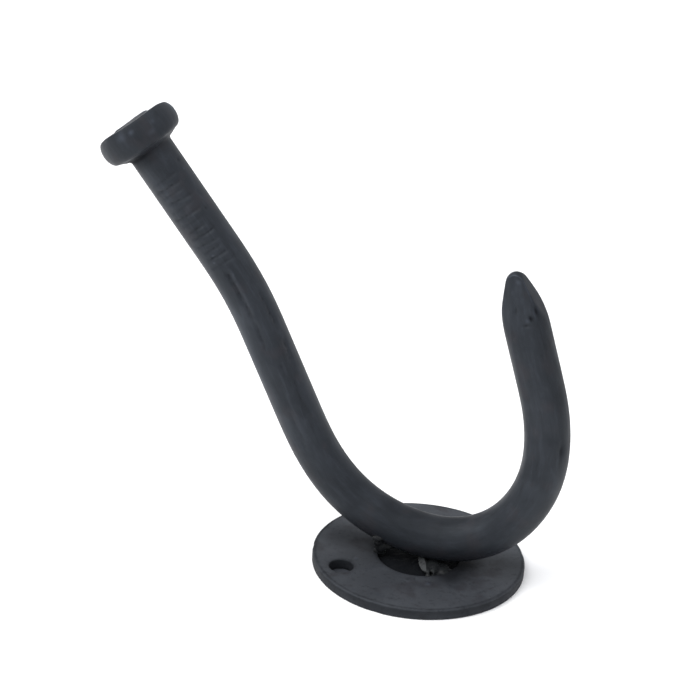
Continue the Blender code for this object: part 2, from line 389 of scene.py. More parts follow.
def walk_axis(points, edges, start, heading, radius):
    """Centres of the cross-sections met on the way to one end of the nail."""
    centres = [start]
    while True:
        guess = centres[-1] + heading * AXIS_STEP
        cuts = section(points, edges, guess, heading, 1.5 * radius)
        if not len(cuts):
            break
        across = np.array((-heading[2], 0.0, heading[0]))
        offsets = (cuts - guess) @ across
        if not 0.25 < np.ptp(offsets) / (2.0 * radius) < 1.1:
            break
        centres.append(guess + across * (offsets.max() + offsets.min()) / 2.0)
        heading = unit(centres[-1] - centres[-2])
    ahead = (points - centres[-1]) @ heading
    aside = np.linalg.norm(points - centres[-1] - np.outer(ahead, heading), axis=1)
    on_line = (aside < 0.2 * radius) & (np.abs(ahead) < 2.5 * radius)
    centres.append(centres[-1] + heading * ahead[on_line].max())
    return centres


def trace_axis(node):
    """The nail's smoothed axis from point to head, its outward normals and its radius."""
    points, _, edges = mesh_arrays(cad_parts[node].data)
    lowest = points[:, 2].min()
    rest_x = points[points[:, 2] < lowest + 0.02, 0].mean()
    start = np.array((rest_x, 0.0, lowest))
    cuts = section(points, edges, start, np.array((1.0, 0.0, 0.0)), 1e3)
    radius = np.abs(cuts[:, 1]).max()
    start[2] += radius
    to_point = walk_axis(points, edges, start, np.array((1.0, 0.0, 0.0)), radius)
    to_head = walk_axis(points, edges, start, np.array((-1.0, 0.0, 0.0)), radius)
    even = resampled(np.array(to_point[:0:-1] + to_head), COARSE_ROW)
    axis = np.stack([blurred(line, AXIS_SMOOTHING / COARSE_ROW) for line in even.T], axis=1)
    along = np.gradient(axis, axis=0)
    along /= np.linalg.norm(along, axis=1)[:, None]
    outward = np.stack((-along[:, 2], along[:, 1], along[:, 0]), axis=1)
    return lengths_along(even), axis, outward, radius


# Nail


def nail_outline(length, radius, head_radius):
    """(radius, height) from the point, up the shank and over the head to its middle."""
    face = length - BOSS_HEIGHT
    widest = face - UPPER_RIM
    shank_top = widest - LOWER_RIM - HEAD_CONE - HEAD_FILLET
    underside = head_radius - UNDERSIDE_INSET
    rim_end = 60.0
    rim_radii = (FACE_INSET / (1.0 - math.cos(math.radians(rim_end))),
                 UPPER_RIM / math.sin(math.radians(rim_end)))
    corners = np.concatenate((
        arc((0.0, NOSE_LENGTH), (radius, NOSE_LENGTH), -90.0, 0.0, 60),
        arc((radius + HEAD_FILLET, shank_top), (HEAD_FILLET, HEAD_FILLET), 180.0, 90.0),
        arc((underside, widest), (UNDERSIDE_INSET, LOWER_RIM), -90.0, 0.0),
        arc((head_radius - rim_radii[0], widest), rim_radii, 0.0, rim_end),
        ((0.0, face),),
    ))
    outline = rounded_outline(corners, 0.05, 0.16)
    from_face = length - outline[:, 1]
    detailed = (from_face < GRIP_START + GRIP_PITCH * (GRIP_COUNT + 1)) | (outline[:, 1] < 13.0)
    return spaced(outline, np.where(detailed, FINE_ROW, COARSE_ROW))[1:-1]


def point_facets(radius, height, angle):
    """Flatten the sides of the point; a high power keeps the ridges only slightly soft."""
    power = 26.0
    reach = POINT_HALF_WIDTH + POINT_SLOPE * height
    total = np.maximum(radius, 1e-3) ** -power
    for facing, distance in POINT_FACETS:
        lean = np.cos(np.radians(angle - facing))
        total = total + (np.maximum(lean, 1e-3) / (distance * reach)) ** power
    return total ** (-1.0 / power)


def grip_marks(from_face, angle, rough):
    """Depth of the grooves that the heading die's jaws leave across the shank."""
    random = np.random.default_rng(7)
    depth = np.zeros_like(from_face)
    for side in GRIP_SIDES:
        for number in range(GRIP_COUNT):
            place = GRIP_START + GRIP_PITCH * (number + random.uniform(-0.1, 0.1))
            turn = turn_between(angle, side + random.uniform(-5.0, 5.0))
            reach = random.uniform(22.0, 36.0)
            strength = random.uniform(0.12, 0.22)
            lean = random.uniform(-0.008, 0.008)
            across = from_face - place - lean * turn + 0.12 * rough
            window = ease(-np.abs(turn), -reach - 10.0, -reach + 10.0) * (1.0 + 0.5 * rough)
            depth += strength * hump(across, 0.42) * window
            depth -= 0.3 * strength * hump(across - 0.92, 0.45) * window
    return depth


def seam_marks(from_face, angle, radius, rough):
    """Depth of the laps and flash lines that run along the shank."""
    depth = np.zeros_like(from_face)
    for (start, start_angle), (end, end_angle), width, strength in SEAMS:
        share = np.clip((from_face - start) / (end - start), 0.0, 1.0)
        line = start_angle + (end_angle - start_angle) * share
        aside = np.radians(turn_between(angle, line)) * radius + 0.35 * width * rough
        faded = ease(from_face, start - 0.6, start + 1.6)
        faded = faded * ease(-from_face, -end - 0.6, -end + 1.6)
        depth += strength * hump(aside, width) * faded * (1.0 + 0.5 * rough)
    return depth


def dent_marks(from_face, angle, radius):
    """Depth of the small dents."""
    depth = np.zeros_like(from_face)
    for place, middle, long, wide, strength in DENTS:
        aside = np.radians(turn_between(angle, middle)) * radius
        depth += strength * hump(np.hypot((from_face - place) / long, aside / wide), 1.0)
    return depth


def rubs_and_highlights(from_face, angle, ring):
    """How far the oxide is rubbed down to brighter metal, and where highlights are painted on the
    head's rim.
    """
    rubbed_and_highlight = np.zeros_like(from_face)
    for place, middle, long, wide, strength in RUBS_AND_HIGHLIGHTS:
        aside = np.radians(turn_between(angle, middle)) * ring
        away = np.hypot((from_face - place) / long, aside / wide)
        rubbed_and_highlight = np.maximum(rubbed_and_highlight, strength * hump(away, 1.0))
    return rubbed_and_highlight


def head_boss(straight, ring, turn):
    """Height of the low, ragged boss in the middle of the head's face."""
    crags = lumps(straight, 2.6, 3, 3).reshape(ring.shape)
    edge = ease(-ring + 0.35 * crags, -BOSS_RADIUS - 0.2, -BOSS_RADIUS + 0.7)
    outwards = ring * np.cos(turn)
    level = 0.62 + 0.65 * hump(outwards + 1.6, 1.9) + 0.15 * crags
    level = level - 0.25 * ease(-outwards, 2.8, 4.4)
    return np.clip(edge * level, 0.0, 1.15) * BOSS_HEIGHT


def nail_soot_and_shade(from_face, angle, uneven):
    """Painted shadow in the crease under the head, weld smoke round the weld that is also painted
    shade over the bend's highlight, and painted shade outside on the hook arm.
    """
    below = from_face - (BOSS_HEIGHT + UPPER_RIM + LOWER_RIM + HEAD_CONE)
    # painted shadow in the crease under the head, strongest on the side towards the camera
    crease = 0.8 * hump(below - 0.2, 0.7) + 0.4 * hump(below - 1.5, 1.5)
    crease = crease * (0.25 + 0.75 * hump(turn_between(angle, 75.0), 50.0))
    # weld smoke near the bend, also painted shade that dims the highlight there
    place, reach, strength = SMOKE_AND_SHADE
    smoke_and_shade = strength * hump(from_face - place, reach) * (1.0 + 0.4 * uneven)
    # painted shade on the outer side of the hook arm near the point
    outside = ease(np.cos(np.radians(angle)), 0.3, 0.95) * ease(from_face, 150.0, 175.0)
    return crease + smoke_and_shade + 0.35 * outside


def make_nail(material):
    """The bent nail with its head, grip marks, seams, dents and cut point."""
    travelled, axis, outward, radius = trace_axis("nail_hook")
    shank = radius - NAIL_SKIN
    head_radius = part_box("nail_hook")[1].y / MM - NAIL_SKIN
    length = travelled[-1] - NAIL_SKIN
    outline = nail_outline(length, shank, head_radius)
    rows = len(outline)

    slope = np.gradient(outline, axis=0)
    slope /= np.linalg.norm(slope, axis=1)[:, None]
    angle = np.tile(np.linspace(0.0, 360.0, ROUND_STEPS, endpoint=False), (rows, 1))
    ring = np.repeat(outline[:, 0], ROUND_STEPS).reshape(rows, -1)
    height = np.repeat(outline[:, 1], ROUND_STEPS).reshape(rows, -1)
    push_out = np.repeat(slope[:, 1], ROUND_STEPS).reshape(rows, -1)
    push_up = np.repeat(-slope[:, 0], ROUND_STEPS).reshape(rows, -1)
    on_shank = ease(length - height, 7.0, 8.5)
    near_point = ease(-height, -POINT_LENGTH - 0.5, -POINT_LENGTH + 0.5)
    faceted = point_facets(ring, height, angle)
    ring = ring + (faceted - ring) * near_point

    turn = np.radians(angle)
    leaned = HEAD_LEAN * ring * np.cos(turn - math.radians(LEAN_ANGLE))
    height = height + leaned * ease(height - length, -BOSS_HEIGHT - UPPER_RIM, -BOSS_HEIGHT)
    straight = np.stack((ring * np.cos(turn), ring * np.sin(turn), height), axis=-1)
    straight = straight.reshape(-1, 3)
    rough = lumps(straight, 1.1, 3, 1).reshape(rows, -1)
    uneven = lumps(straight * (1.0, 1.0, 0.45), 6.0, 2, 2).reshape(rows, -1)
    from_face = length - height
    grips = grip_marks(from_face, angle, rough) * on_shank
    seams = seam_marks(from_face, angle, shank, rough)
    dents = dent_marks(from_face, angle, shank)
    lift = -0.012 * (1.0 + uneven) - 0.004 * (1.0 + rough) - grips - seams - dents

    on_face = ease(push_up, 0.8, 0.99)
    lift = lift + head_boss(straight, ring, turn) * on_face
    rim = (1.0 - on_shank) * (1.0 - on_face)
    lift = lift - rim * 0.03 * (1.0 + lumps(straight, 3.2, 2, 4).reshape(rows, -1))

    ring = np.maximum(ring + lift * push_out, 0.01)
    height = height + lift * push_up
    centre = np.stack([np.interp(height, travelled, line) for line in axis.T], axis=-1)
    normal = np.stack([np.interp(height, travelled, line) for line in outward.T], axis=-1)
    towards = np.array((0.0, -1.0, 0.0))
    placed = centre + (ring * np.cos(turn))[..., None] * normal
    placed = placed + (ring * np.sin(turn))[..., None] * towards
    poles = np.stack((placed[0].mean(axis=0), placed[-1].mean(axis=0)))

    mesh = ring_mesh("nail_hook", placed, poles)
    grain = np.concatenate((straight, ((0.0, 0.0, 0.0), (0.0, 0.0, length))))
    # the grooves of grip marks, seams and dents get painted shade; the head is a little darker all
    # over
    marks = 1.4 * np.maximum(grips, 0.0) + 0.9 * np.maximum(seams, 0.0) + 1.8 * dents
    soot_and_shade = marks + nail_soot_and_shade(from_face, angle, uneven) + 0.2 * (1.0 - on_shank)
    soot_and_shade = np.concatenate((soot_and_shade.ravel(), (0.0, 0.2)))
    bare_and_highlight = np.concatenate((rubs_and_highlights(from_face, angle, ring).ravel(), (0.0, 0.0)))
    return add_piece(mesh, "nail_hook", material, grain, soot_and_shade, bare_and_highlight)


# Plate


def turned(name, outline, steps, closed=False):
    """An object turned about Z from a (radius, height) outline, bottom to top, in mm."""
    turn = np.linspace(0.0, 2.0 * math.pi, steps, endpoint=False)
    rings = outline if closed else outline[1:-1]
    points = np.stack((np.outer(rings[:, 0], np.cos(turn)), np.outer(rings[:, 0], np.sin(turn)),
                       np.repeat(rings[:, 1], steps).reshape(-1, steps)), axis=-1)
    poles = () if closed else ((0.0, 0.0, outline[0, 1]), (0.0, 0.0, outline[-1, 1]))
    obj = bpy.data.objects.new(name, ring_mesh(name, points, poles))
    bpy.context.scene.collection.objects.link(obj)
    return obj


def hole_outline(radius, rounding, thickness):
    """A cutter that leaves rounded edges at both faces of the plate."""
    reach = 1.0
    return np.concatenate((
        ((0.0, -reach), (radius + rounding + reach, -reach), (radius + rounding + reach, -0.02)),
        arc((radius + rounding, rounding), (rounding, rounding), -90.0, -180.0, 8),
        arc((radius + rounding, thickness - rounding), (rounding, rounding), 180.0, 90.0, 8),
        ((radius + rounding + reach, thickness + 0.02),
         (radius + rounding + reach, thickness + reach),
         (0.0, thickness + reach)),
    ))


def plate_outline(radius, thickness):
    """Half section of the plate as a closed loop, from the edge of its centre hole outwards."""
    inner = CENTRE_HOLE_RADIUS + HOLE_ROUNDING
    rounding = (HOLE_ROUNDING, HOLE_ROUNDING)
    corners = np.concatenate((
        arc((inner, HOLE_ROUNDING), rounding, 180.0, 270.0),
        arc((radius - PLATE_CHAMFER, PLATE_CHAMFER), (PLATE_CHAMFER, PLATE_CHAMFER), -90.0, 0.0),
        arc((radius - PLATE_ROLL, thickness - PLATE_ROLL), (PLATE_ROLL, PLATE_ROLL), 0.0, 90.0),
        arc((inner, thickness - HOLE_ROUNDING), rounding, 90.0, 180.0),
        ((CENTRE_HOLE_RADIUS, HOLE_ROUNDING),),
    ))
    even = resampled(corners, 0.02)
    near_edge = (even[:, 0] > radius - 1.2) | (even[:, 0] < inner + 0.1)
    return spaced(even, np.where(near_edge, FINE_ROW, PLATE_ROW), closed=True)


def cut_out(obj, cutters):
    """The mesh left of an object by the cutters; all of them are removed."""
    for cutter in cutters:
        cut = obj.modifiers.new("hole", "BOOLEAN")
        cut.operation = "DIFFERENCE"
        cut.object = cutter
    bpy.context.view_layer.update()
    mesh = evaluated_mesh(obj)
    for helper in (obj, *cutters):
        bpy.data.objects.remove(helper, do_unlink=True)
    return mesh


def plate_soot_and_shade(points, out, radius, above, side, shear, holes):
    """Painted shade along the rim and round the holes, painted shadow with weld soot under the nail
    and beside the welds, and the plate darker at the front than at the back.
    """
    cloudy = 0.6 + 0.6 * lumps(points, 5.0, 2, 13)
    # painted shade: a dark line on the rolled edge and a darker side band, which dim and break up
    # their highlight
    soot_and_shade = 0.4 * hump(out - (radius - 0.6), 0.3) * (0.75 + 0.5 * shear) * above + 0.3 * side
    soot_and_shade += 0.25 * ease(out, radius - 0.8, radius - 0.1) * cloudy * above
    # painted shadow under and beside the nail, reaching further on the left, also standing for weld
    # soot there
    left = ease(-points[:, 0], 7.0, 13.0)
    shaded = hump(points[:, 1] - 1.5 * left, 4.8) * (1.0 - 0.55 * left)
    soot_and_shade += 0.9 * shaded * ease(-np.abs(points[:, 0] + 5.0), -22.0, -13.0)
    # painted shadow beside the front right weld, also weld soot
    soot_and_shade += 0.6 * hump(np.hypot(points[:, 0] - 9.0, points[:, 1] + 7.0), 4.2)
    # painted shade: the plate darker at the front and middle than at the back
    soot_and_shade += 0.3 * ease(-points[:, 1], -11.0, -3.0)
    # painted shade in and round the holes
    for place, hole_radius in holes:
        gap = np.hypot(points[:, 0] - place[0], points[:, 1] - place[1]) - hole_radius
        soot_and_shade += 0.25 * ease(-gap, -1.2, 0.0) + 0.2 * ease(-gap, -0.3, 0.05)
    return soot_and_shade


def make_plate(material):
    """The blanked plate: rolled upper edge, sheared side and three holes."""
    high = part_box("mounting_plate")[1]
    radius = high.x / MM - 0.01
    thickness = high.z / MM - 0.005
    outline = plate_outline(radius, thickness) + (0.0, 0.005)
    blank = turned("plate_blank", outline, PLATE_STEPS, closed=True)
    screw_hole = hole_outline(SCREW_HOLE_RADIUS, SCREW_ROUNDING, thickness)
    cutters = []
    holes = [(np.zeros(2), CENTRE_HOLE_RADIUS)]
    for degrees in SCREW_ANGLES:
        around = math.radians(degrees)
        place = SCREW_CIRCLE_RADIUS * np.array((math.cos(around), math.sin(around)))
        cutter = turned("screw_cutter", screw_hole, 90)
        cutter.location = (place[0] * MM, place[1] * MM, 0.0)
        cutters.append(cutter)
        holes.append((place, SCREW_HOLE_RADIUS))
    mesh = cut_out(blank, cutters)

    points, normals, _ = mesh_arrays(mesh)
    out = np.hypot(points[:, 0], points[:, 1])
    around = np.degrees(np.arctan2(points[:, 1], points[:, 0]))
    above = ease(points[:, 2], 0.2, 0.8 * thickness)
    wave = lumps(points, 9.0, 2, 11)
    shear = lumps(points * (1.0, 1.0, 0.2), 0.9, 3, 12)
    side = ease(out, radius - 0.3, radius - 0.02) * ease(-np.abs(normals[:, 2]), -0.6, -0.2)
    points[:, 2] -= 0.015 * (1.0 + wave) * above
    inward = 0.02 * (1.0 + shear) * side
    near_rim = ease(out, radius - 1.0, radius)
    for facing, depth, width in RIM_NICKS:
        aside = np.radians(turn_between(around, facing)) * radius
        inward += depth * hump(aside, width) * near_rim
    points[:, :2] -= points[:, :2] / np.maximum(out, 1.0)[:, None] * inward[:, None]
    speck = np.zeros(len(points))
    for across, along, half_width, height in SPATTER:
        blob = hump(np.hypot(points[:, 0] - across, points[:, 1] - along), half_width) * above
        points[:, 2] += height * blob
        speck = np.maximum(speck, blob)
    mesh.vertices.foreach_set("co", (points * MM).ravel())
    mesh.update()
    mesh.shade_smooth()
    mesh.set_sharp_from_angle(angle=math.radians(50.0))

    soot_and_shade = plate_soot_and_shade(points, out, radius, above, side, shear, holes)
    return add_piece(mesh, "mounting_plate", material, points, soot_and_shade, speck)


# Weld metal


def fused(name, drops):
    """Ellipsoidal drops fused into one closed, smoothed surface.

    Each drop is a centre, its half sizes and its heading in degrees.
    """
    cage = bmesh.new()
    for centre, size, heading in drops:
        place = Matrix.Translation(centre) @ Matrix.Rotation(math.radians(heading), 4, "Z")
        squeezed = place @ Matrix.Diagonal((*size, 1.0))
        bmesh.ops.create_icosphere(cage, subdivisions=3, radius=1.0, matrix=squeezed)
    mesh = bpy.data.meshes.new(name)
    cage.to_mesh(mesh)
    cage.free()
    helper = bpy.data.objects.new(name, mesh)
    bpy.context.scene.collection.objects.link(helper)
    remesh = helper.modifiers.new("fuse", "REMESH")
    remesh.mode = "VOXEL"
    remesh.voxel_size = VOXEL
    smooth = helper.modifiers.new("soften", "SMOOTH")
    smooth.factor = 0.5
    smooth.iterations = 10
    bpy.context.view_layer.update()
    fused_mesh = evaluated_mesh(helper)
    bpy.data.objects.remove(helper, do_unlink=True)
    return fused_mesh


def make_bead(node, drops, cuts, heading, seed, material):
    """A rough lump of weld metal whose ripples run along a heading.

    The cuts are planes (point, normal) that flatten what stands beyond them.
    """
    low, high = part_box(node)
    middle = (low + high) / (2.0 * MM)
    mesh = fused(node, [(middle + Vector(centre), size, turn) for centre, size, turn in drops])
    points, normals, _ = mesh_arrays(mesh)
    points = points * MM
    turn = math.radians(heading)
    across = points @ np.array((math.cos(turn), math.sin(turn), 0.0))
    along = points @ np.array((-math.sin(turn), math.cos(turn), 0.0))
    ripples = lumps(np.stack((across, 0.4 * along, 0.6 * points[:, 2]), axis=1), 0.9, 2, seed)
    pits = lumps(points, 0.9, 2, seed + 1)
    points += normals * (0.07 * ripples - 0.08 * ease(pits, 0.3, 0.8))[:, None]
    bare_and_highlight = np.zeros(len(points))
    for place, direction in cuts:
        normal = unit(np.array(direction))
        beyond = (points - np.array(middle) - np.array(place)) @ normal
        points -= np.maximum(beyond, 0.0)[:, None] * normal
        bare_and_highlight = np.maximum(bare_and_highlight, ease(beyond, 0.0, 0.12))
    mesh.vertices.foreach_set("co", (points * MM).ravel())
    mesh.update()
    mesh.shade_smooth()
    soot_and_shade = 0.15 + 0.5 * ease(pits, 0.2, 0.6)
    return add_piece(mesh, node, material, points, soot_and_shade, bare_and_highlight)


def make_plug(material):
    """The crowned weld that closes the centre hole, its puddle frozen in ripples."""
    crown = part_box("plug_weld")[1].z / MM
    radius = CENTRE_HOLE_RADIUS + 0.1
    corners = np.concatenate((
        ((0.0, 0.02), (radius, 0.02)),
        arc((0.0, 0.5 * crown), (radius, 0.5 * crown - 0.25), 0.0, 90.0, 40),
    ))
    outline = spaced(rounded_outline(corners, 0.05, 0.1), np.array(0.14))
    obj = turned("plug_weld", outline, 200)
    mesh = obj.data
    bpy.data.objects.remove(obj, do_unlink=True)
    points, _, _ = mesh_arrays(mesh)
    upper = ease(points[:, 2], 0.2, 0.9)
    rough = lumps(points, 2.8, 3, 21)
    puddle = np.hypot(points[:, 0] + 9.0, 0.8 * points[:, 1] - 4.0)
    ripple = np.sin(3.1 * puddle + 3.5 * rough)
    points[:, 2] += upper * (0.20 * rough + 0.05 * ripple)
    mesh.vertices.foreach_set("co", (points * MM).ravel())
    mesh.update()
    # nearly black all over its top: weld soot, and painted shade for the dark hole under the nail
    soot_and_shade = (0.90 + 0.1 * rough) * upper
    bare_and_highlight = np.zeros(len(points))
    return add_piece(mesh, "plug_weld", material, points, soot_and_shade, bare_and_highlight)


# For each bead: its drops as (centre, half sizes, heading), centres from the middle of the
# packed bead; the planes that flatten it; and the heading of its ripples
BEADS = {
    "weld_bead_front_left": (
        (((0.3, -0.8, 2.9), (1.4, 0.9, 0.8), 10.0),
         ((0.1, 0.0, 1.7), (1.2, 0.9, 1.2), 0.0),
         ((0.7, 0.5, 0.3), (1.5, 1.0, 1.6), 0.0),
         ((0.3, 1.3, -1.6), (1.5, 1.0, 0.8), 0.0),
         ((2.3, 0.9, 0.5), (1.5, 0.8, 0.8), 4.0)),
        (), 20.0,
    ),
    "weld_bead_front_right": (
        (((-3.2, 1.6, -0.25), (1.0, 4.0, 0.8), 25.0),
         ((-0.9, 1.7, -0.3), (1.5, 3.0, 0.75), 15.0),
         ((-1.6, 0.3, -0.2), (0.4, 2.9, 0.5), 15.0),
         ((-0.4, 0.3, -0.2), (0.4, 2.6, 0.5), 15.0),
         ((0.9, 1.9, -0.6), (1.9, 2.2, 0.5), 30.0),
         ((1.6, 0.6, -1.1), (2.9, 1.7, 0.45), 45.0),
         ((-1.0, -2.2, -0.8), (0.7, 0.6, 0.3), 20.0)),
        (((-3.0, 1.0, 0.1), (-0.6, -0.3, 0.74)),), 17.0,
    ),
    "weld_bead_rear_left": (
        (((0.2, 0.6, 2.7), (1.1, 0.9, 0.9), 0.0),
         ((-0.1, 0.1, 1.8), (1.0, 0.9, 1.1), 0.0),
         ((0.1, -0.6, 0.1), (1.1, 0.9, 2.0), 0.0),
         ((-0.3, -1.2, -1.7), (1.4, 1.1, 0.6), 0.0),
         ((2.2, -0.8, 0.5), (1.5, 0.7, 0.6), -4.0)),
        (), -20.0,
    ),
    "weld_bead_rear_right": (
        (((-3.2, -2.3, -0.3), (1.5, 4.0, 0.9), -25.0),
         ((-0.9, -0.6, -0.4), (0.8, 3.2, 0.9), -17.0),
         ((0.2, -1.5, -0.2), (1.2, 1.9, 0.8), -12.0),
         ((1.6, -0.6, -1.0), (2.8, 1.5, 0.6), -45.0),
         ((-0.9, 2.1, -0.7), (1.1, 0.8, 0.5), -20.0)),
        (), -20.0,
    ),
}


# Materials


class Nodes:
    """Short calls for building the node tree of a material or a world."""

    def __init__(self, owner):
        owner.use_nodes = True
        self.owner = owner
        self.tree = owner.node_tree
        self.shader = next(node for node in self.tree.nodes if not node.type.startswith("OUTPUT"))

    def plug(self, socket, value):
        """Link a socket, or set its value."""
        if isinstance(value, bpy.types.NodeSocket):
            self.tree.links.new(value, socket)
        else:
            socket.default_value = value

    def attribute(self, name, output):
        """A number or vector stored on the mesh."""
        node = self.tree.nodes.new("ShaderNodeAttribute")
        node.attribute_name = name
        return node.outputs[output]

    def stretched(self, vector, scale):
        """A vector scaled along each of its axes."""
        node = self.tree.nodes.new("ShaderNodeVectorMath")
        node.operation = "MULTIPLY"
        self.plug(node.inputs[0], vector)
        node.inputs[1].default_value = scale
        return node.outputs[0]

    def noise(self, vector, size, detail=4.0, rough=0.55, warp=0.0):
        """Noise from 0 to 1 with lumps of a size in mm."""
        node = self.tree.nodes.new("ShaderNodeTexNoise")
        self.plug(node.inputs["Vector"], vector)
        node.inputs["Scale"].default_value = 1.0 / size
        node.inputs["Detail"].default_value = detail
        node.inputs["Roughness"].default_value = rough
        node.inputs["Distortion"].default_value = warp
        return node.outputs["Fac"]

    def between(self, value, low, high, to_low=0.0, to_high=1.0):
        """Map a range of values smoothly to another one."""
        node = self.tree.nodes.new("ShaderNodeMapRange")
        node.interpolation_type = "SMOOTHSTEP"
        for name, given in zip(("Value", "From Min", "From Max", "To Min", "To Max"),
                               (value, low, high, to_low, to_high)):
            self.plug(node.inputs[name], given)
        return node.outputs["Result"]

    def maths(self, operation, first, second):
        """One arithmetic step."""
        node = self.tree.nodes.new("ShaderNodeMath")
        node.operation = operation
        self.plug(node.inputs[0], first)
        self.plug(node.inputs[1], second)
        return node.outputs[0]

    def mix(self, share, first, second):
        """Blend two colours."""
        node = self.tree.nodes.new("ShaderNodeMix")
        node.data_type = "RGBA"
        self.plug(node.inputs["Factor"], share)
        self.plug(node.inputs["A"], first)
        self.plug(node.inputs["B"], second)
        return node.outputs["Result"]

    def bump(self, height, depth, normal=None):
        """Surface relief; depth is in mm."""
        node = self.tree.nodes.new("ShaderNodeBump")
        node.inputs["Distance"].default_value = depth * MM
        self.plug(node.inputs["Height"], height)
        if normal is not None:
            self.plug(node.inputs["Normal"], normal)
        return node.outputs["Normal"]


def grey(level, tint=NAIL_TINT):
    """A dark grey, faintly blue."""
    return (level * tint[0], level * tint[1], level * tint[2], 1.0)


def oxide_steel(name, stretch, tone, tint):
    """Blackened steel: dark oxide with faint stains and streaks, rubbed edges with painted
    highlights, and soot with painted shade.

    The stretch draws the stains out along the piece, and the tone sets how light it is.
    """
    nodes = Nodes(bpy.data.materials.new(name))
    grain = nodes.attribute("grain", "Vector")
    along = nodes.stretched(grain, stretch)
    soot_and_shade = nodes.attribute("soot_and_shade", "Fac")
    wear = nodes.attribute("wear", "Fac")
    bare_and_highlight = nodes.attribute("bare_and_highlight", "Fac")

    clouds = nodes.noise(grain, 9.0, 3.0, 0.5, 0.4)
    mottle = nodes.noise(along, 2.4, 5.0, 0.62, 0.3)
    streaks = nodes.noise(nodes.stretched(along, stretch), 1.1, 3.0, 0.6, 0.2)
    specks = nodes.noise(grain, 0.25, 3.0, 0.6)
    warm = nodes.noise(nodes.stretched(grain, (0.9, 1.1, 0.8)), 5.0, 2.0, 0.5)

    base_greys = grey(0.016 * tone, tint), grey(0.021 * tone, tint)
    colour = nodes.mix(nodes.between(clouds, 0.3, 0.7), *base_greys)
    warm_grey = grey(0.022, (1.0, 0.92, 1.08))
    colour = nodes.mix(nodes.between(warm, 0.52, 0.68, 0.0, 0.6), colour, warm_grey)
    colour = nodes.mix(nodes.between(mottle, 0.50, 0.72, 0.0, 0.5), colour, grey(0.032))
    colour = nodes.mix(nodes.between(mottle, 0.44, 0.28, 0.0, 0.5), colour, grey(0.010))
    colour = nodes.mix(nodes.between(streaks, 0.52, 0.72, 0.0, 0.35), colour, grey(0.034))
    colour = nodes.mix(nodes.between(streaks, 0.44, 0.28, 0.0, 0.45), colour, grey(0.009))
    colour = nodes.mix(nodes.between(specks, 0.62, 0.75, 0.0, 0.3), colour, grey(0.05))
    # rubbed metal and painted highlights lighten the colour
    rubbed_and_highlight = nodes.maths("MULTIPLY", wear, nodes.between(mottle, 0.32, 0.62, 0.2, 0.7))
    rubbed_and_highlight = nodes.maths("MAXIMUM", rubbed_and_highlight, bare_and_highlight)
    colour = nodes.mix(nodes.maths("MULTIPLY", rubbed_and_highlight, 0.8), colour, grey(0.07))
    # soot and painted shade darken it
    colour = nodes.mix(nodes.maths("MULTIPLY", soot_and_shade, 0.85), colour, grey(0.004))
    nodes.plug(nodes.shader.inputs["Base Color"], colour)

    nodes.plug(nodes.shader.inputs["Metallic"], nodes.maths("MULTIPLY", rubbed_and_highlight, 0.4))
    roughness = nodes.between(mottle, 0.3, 0.7, 0.52, 0.44)
    roughness = nodes.maths("ADD", roughness, nodes.maths("MULTIPLY", soot_and_shade, 0.2))
    nodes.plug(nodes.shader.inputs["Roughness"], roughness)
    shine = nodes.between(clouds, 0.3, 0.7, 0.22, 0.26)
    nodes.plug(nodes.shader.inputs["Specular IOR Level"],
               nodes.maths("MULTIPLY", shine, nodes.between(soot_and_shade, 0.0, 1.0, 1.0, 0.35)))
    nodes.shader.inputs["Specular Tint"].default_value = (0.86, 0.94, 1.0, 1.0)

    relief = nodes.bump(mottle, 0.03)
    relief = nodes.bump(nodes.noise(grain, 0.18, 2.0, 0.5), 0.008, relief)
    nodes.plug(nodes.shader.inputs["Normal"], relief)
    return nodes.owner


def weld_metal(name):
    """Weld metal: sooty and pitted, with bright bare spots; its soot mask also carries painted
    shade.
    """
    nodes = Nodes(bpy.data.materials.new(name))
    grain = nodes.attribute("grain", "Vector")
    soot_and_shade = nodes.attribute("soot_and_shade", "Fac")
    wear = nodes.attribute("wear", "Fac")
    bare_and_highlight = nodes.attribute("bare_and_highlight", "Fac")

    clouds = nodes.noise(grain, 1.6, 4.0, 0.6, 0.5)
    specks = nodes.noise(grain, 0.35, 3.0, 0.6)
    clear_grey = grey(0.012, (0.88, 1.0, 1.02))
    colour = nodes.mix(nodes.between(clouds, 0.35, 0.65), grey(0.006), clear_grey)
    colour = nodes.mix(nodes.between(specks, 0.58, 0.75, 0.0, 0.3), colour, grey(0.04))
    worn = nodes.maths("MULTIPLY", wear, nodes.between(clouds, 0.5, 0.7, 0.0, 0.1))
    bright = nodes.maths("MULTIPLY", bare_and_highlight, nodes.between(clouds, 0.3, 0.5, 0.6, 1.0))
    bright = nodes.maths("MAXIMUM", bright, worn)
    colour = nodes.mix(bright, colour, grey(0.12, (0.95, 1.0, 1.03)))
    # soot darkens the colour, and painted shade too, most of all on the plug
    colour = nodes.mix(nodes.maths("MULTIPLY", soot_and_shade, 0.9), colour, grey(0.005))
    nodes.plug(nodes.shader.inputs["Base Color"], colour)
    nodes.plug(nodes.shader.inputs["Metallic"], nodes.between(bright, 0.0, 1.0, 0.0, 0.6))
    roughness = nodes.between(bright, 0.0, 1.0, 0.55, 0.38)
    roughness = nodes.maths("ADD", roughness, nodes.maths("MULTIPLY", soot_and_shade, 0.2))
    nodes.plug(nodes.shader.inputs["Roughness"], roughness)
    nodes.plug(nodes.shader.inputs["Specular IOR Level"], nodes.between(soot_and_shade, 0.0, 1.0, 0.22, 0.05))
    relief = nodes.bump(clouds, 0.05)
    relief = nodes.bump(specks, 0.02, relief)
    nodes.plug(nodes.shader.inputs["Normal"], relief)
    return nodes.owner


# Studio


